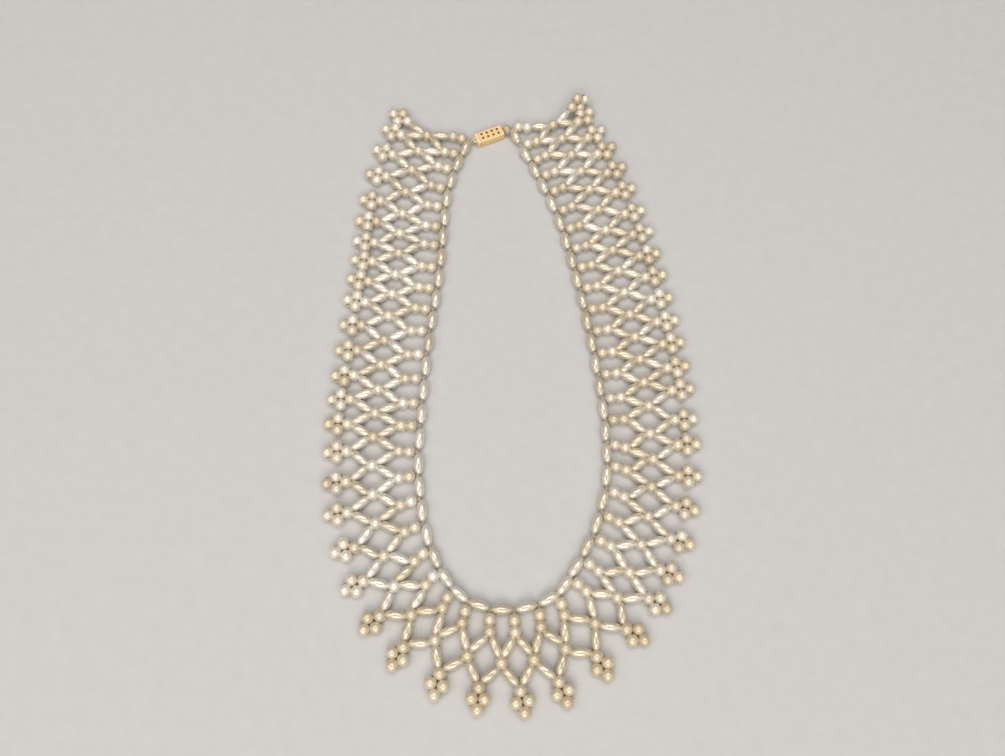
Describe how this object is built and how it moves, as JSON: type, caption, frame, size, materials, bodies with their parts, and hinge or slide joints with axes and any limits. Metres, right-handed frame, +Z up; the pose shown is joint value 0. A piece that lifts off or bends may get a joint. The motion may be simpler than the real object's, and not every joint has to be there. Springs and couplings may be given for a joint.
{
  "type": "bib necklace",
  "caption": "Netted bib necklace of imitation pearls, round and rice shaped, on a short neck string with a flat gilt box clasp, lying flat and fastened.",
  "frame": {"origin": "middle of the footprint, on the surface that the necklace lies on", "axes": "+Z up, +Y from the front of the collar towards the clasp, +X to the right as the picture shows it"},
  "size_m": [0.128, 0.2239, 0.0076],
  "materials": {
    "round_pearl": "cream pearl lacquer with a soft satin gloss",
    "rice_pearl": "silvery cream pearl lacquer with fine lengthwise streaks",
    "thread": "cream twisted stringing thread",
    "gilt": "worn gilt brass, satin",
    "clouded_bead": "clouded blush plastic"
  },
  "bodies": {
    "root": {"net_left": "round_pearl", "net_right": "round_pearl", "neck_string": "rice_pearl", "clasp_box": "gilt", "clasp_tongue": "gilt", "end_bead": "clouded_bead"}
  },
  "joints": []
}
